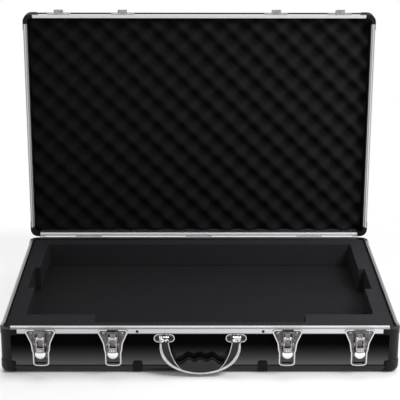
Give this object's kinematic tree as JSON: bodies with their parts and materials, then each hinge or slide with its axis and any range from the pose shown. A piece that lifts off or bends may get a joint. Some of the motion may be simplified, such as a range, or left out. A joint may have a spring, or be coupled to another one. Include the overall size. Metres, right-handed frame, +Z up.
{
  "type": "hard carrying case",
  "caption": "Hard case with aluminium rims, lid on stop hinges, egg-crate foam lid, cut-foam base with recess, keyed draw latches and a drop handle; carries a music controller.",
  "frame": {"origin": "centre of the underside face of the bottom panel, between the feet", "axes": "+X to the right seen from the front, along the case's width; +Y from front to rear; +Z up"},
  "size_m": [0.7024, 0.5314, 0.5599],
  "materials": {
    "black_laminate": "smooth gloss black laminate on plywood panels",
    "black_rail": "satin black coated aluminium extrusion",
    "silver_rail": "bright satin anodised aluminium",
    "black_moulding": "black moulded corner pieces and feet",
    "black_foam": "closed-cell black foam, fine open grain at the cut faces",
    "crate_foam": "soft black egg-crate foam",
    "chrome": "bright chromed pressed steel",
    "zinc_steel": "zinc plated steel hinge leaves and pins",
    "grip_plastic": "dark moulded grip, fine grained",
    "lock_metal": "turned key plug, nickel plated"
  },
  "bodies": {
    "base": {"base_bottom_panel": "black_laminate", "base_front_panel": "black_laminate", "base_rear_panel": "black_laminate", "base_left_panel": "black_laminate", "base_right_panel": "black_laminate", "base_edge_rails": "black_rail", "base_corner_posts": "black_moulding", "base_ball_corners": "black_moulding", "base_rim_front_rail": "silver_rail", "base_rim_rear_rail": "silver_rail", "base_rim_side_rails": "silver_rail", "base_rim_corner_caps": "black_moulding", "base_foam_cut_layer": "black_foam", "base_foam_floor": "black_foam", "feet": "black_moulding", "base_hinge_leaves": "zinc_steel", "hinge_pins": "zinc_steel", "latch_plate_1": "chrome", "latch_plate_2": "chrome", "latch_plate_3": "chrome", "latch_plate_4": "chrome", "latch_lever_pins": "zinc_steel", "handle_brackets": "chrome", "base_rivets": "chrome"},
    "lid": {"lid_top_panel": "black_laminate", "lid_front_panel": "black_laminate", "lid_rear_panel": "black_laminate", "lid_left_panel": "black_laminate", "lid_right_panel": "black_laminate", "lid_edge_rails": "black_rail", "lid_corner_posts": "black_moulding", "lid_ball_corners": "black_moulding", "lid_rim_front_rail": "silver_rail", "lid_rim_rear_rail": "silver_rail", "lid_rim_side_rails": "silver_rail", "lid_rim_corner_caps": "black_moulding", "lid_foam": "crate_foam", "lid_lining": "black_foam", "lid_strikes": "chrome", "lid_rivets": "chrome", "lid_hinge_leaves": "zinc_steel"},
    "handle": {"handle_band": "chrome", "handle_grip": "grip_plastic", "handle_trim": "chrome"},
    "lever_1": {"latch_lever_1": "chrome", "latch_hook_pin_1": "zinc_steel"},
    "hook_1": {"latch_hook_1": "chrome"},
    "lock_1": {"lock_barrel_1": "lock_metal"},
    "lever_2": {"latch_lever_2": "chrome", "latch_hook_pin_2": "zinc_steel"},
    "hook_2": {"latch_hook_2": "chrome"},
    "lock_2": {"lock_barrel_2": "lock_metal"},
    "lever_3": {"latch_lever_3": "chrome", "latch_hook_pin_3": "zinc_steel"},
    "hook_3": {"latch_hook_3": "chrome"},
    "lock_3": {"lock_barrel_3": "lock_metal"},
    "lever_4": {"latch_lever_4": "chrome", "latch_hook_pin_4": "zinc_steel"},
    "hook_4": {"latch_hook_4": "chrome"},
    "lock_4": {"lock_barrel_4": "lock_metal"}
  },
  "joints": [
    {"name": "lid_hinge", "type": "hinge", "parent": "base", "child": "lid", "pos_m": [0, 0.2339, 0.08165], "axis": [1, 0, 0], "range_deg": [0, 91]},
    {"name": "handle_swing", "type": "hinge", "parent": "base", "child": "handle", "pos_m": [0, -0.2375, 0.066], "axis": [-1, 0, 0], "range_deg": [0, 110]},
    {"name": "lever_1_lift", "type": "hinge", "parent": "base", "child": "lever_1", "pos_m": [-0.279, -0.2405, 0.0665], "axis": [-1, 0, 0], "range_deg": [-14, 85]},
    {"name": "hook_1_swing", "type": "hinge", "parent": "lever_1", "child": "hook_1", "pos_m": [-0.279, -0.2405, 0.0565], "axis": [1, 0, 0], "range_deg": [-20.1, 121.6]},
    {"name": "lock_1_turn", "type": "hinge", "parent": "lever_1", "child": "lock_1", "pos_m": [-0.279, -0.2439, 0.046], "axis": [0, -1, 0], "range_deg": [0, 90]},
    {"name": "lever_2_lift", "type": "hinge", "parent": "base", "child": "lever_2", "pos_m": [-0.1525, -0.2405, 0.0665], "axis": [-1, 0, 0], "range_deg": [-14, 85]},
    {"name": "hook_2_swing", "type": "hinge", "parent": "lever_2", "child": "hook_2", "pos_m": [-0.1525, -0.2405, 0.0565], "axis": [1, 0, 0], "range_deg": [-20.1, 121.6]},
    {"name": "lock_2_turn", "type": "hinge", "parent": "lever_2", "child": "lock_2", "pos_m": [-0.1525, -0.2439, 0.046], "axis": [0, -1, 0], "range_deg": [0, 90]},
    {"name": "lever_3_lift", "type": "hinge", "parent": "base", "child": "lever_3", "pos_m": [0.1525, -0.2405, 0.0665], "axis": [-1, 0, 0], "range_deg": [-14, 85]},
    {"name": "hook_3_swing", "type": "hinge", "parent": "lever_3", "child": "hook_3", "pos_m": [0.1525, -0.2405, 0.0565], "axis": [1, 0, 0], "range_deg": [-20.1, 121.6]},
    {"name": "lock_3_turn", "type": "hinge", "parent": "lever_3", "child": "lock_3", "pos_m": [0.1525, -0.2439, 0.046], "axis": [0, -1, 0], "range_deg": [0, 90]},
    {"name": "lever_4_lift", "type": "hinge", "parent": "base", "child": "lever_4", "pos_m": [0.279, -0.2405, 0.0665], "axis": [-1, 0, 0], "range_deg": [-14, 85]},
    {"name": "hook_4_swing", "type": "hinge", "parent": "lever_4", "child": "hook_4", "pos_m": [0.279, -0.2405, 0.0565], "axis": [1, 0, 0], "range_deg": [-20.1, 121.6]},
    {"name": "lock_4_turn", "type": "hinge", "parent": "lever_4", "child": "lock_4", "pos_m": [0.279, -0.2439, 0.046], "axis": [0, -1, 0], "range_deg": [0, 90]}
  ],
  "couplings": [
    {"joint": "hook_1_swing", "follows": "lever_1_lift", "ratio": 1.4286},
    {"joint": "hook_2_swing", "follows": "lever_2_lift", "ratio": 1.4286},
    {"joint": "hook_3_swing", "follows": "lever_3_lift", "ratio": 1.4286},
    {"joint": "hook_4_swing", "follows": "lever_4_lift", "ratio": 1.4286}
  ]
}
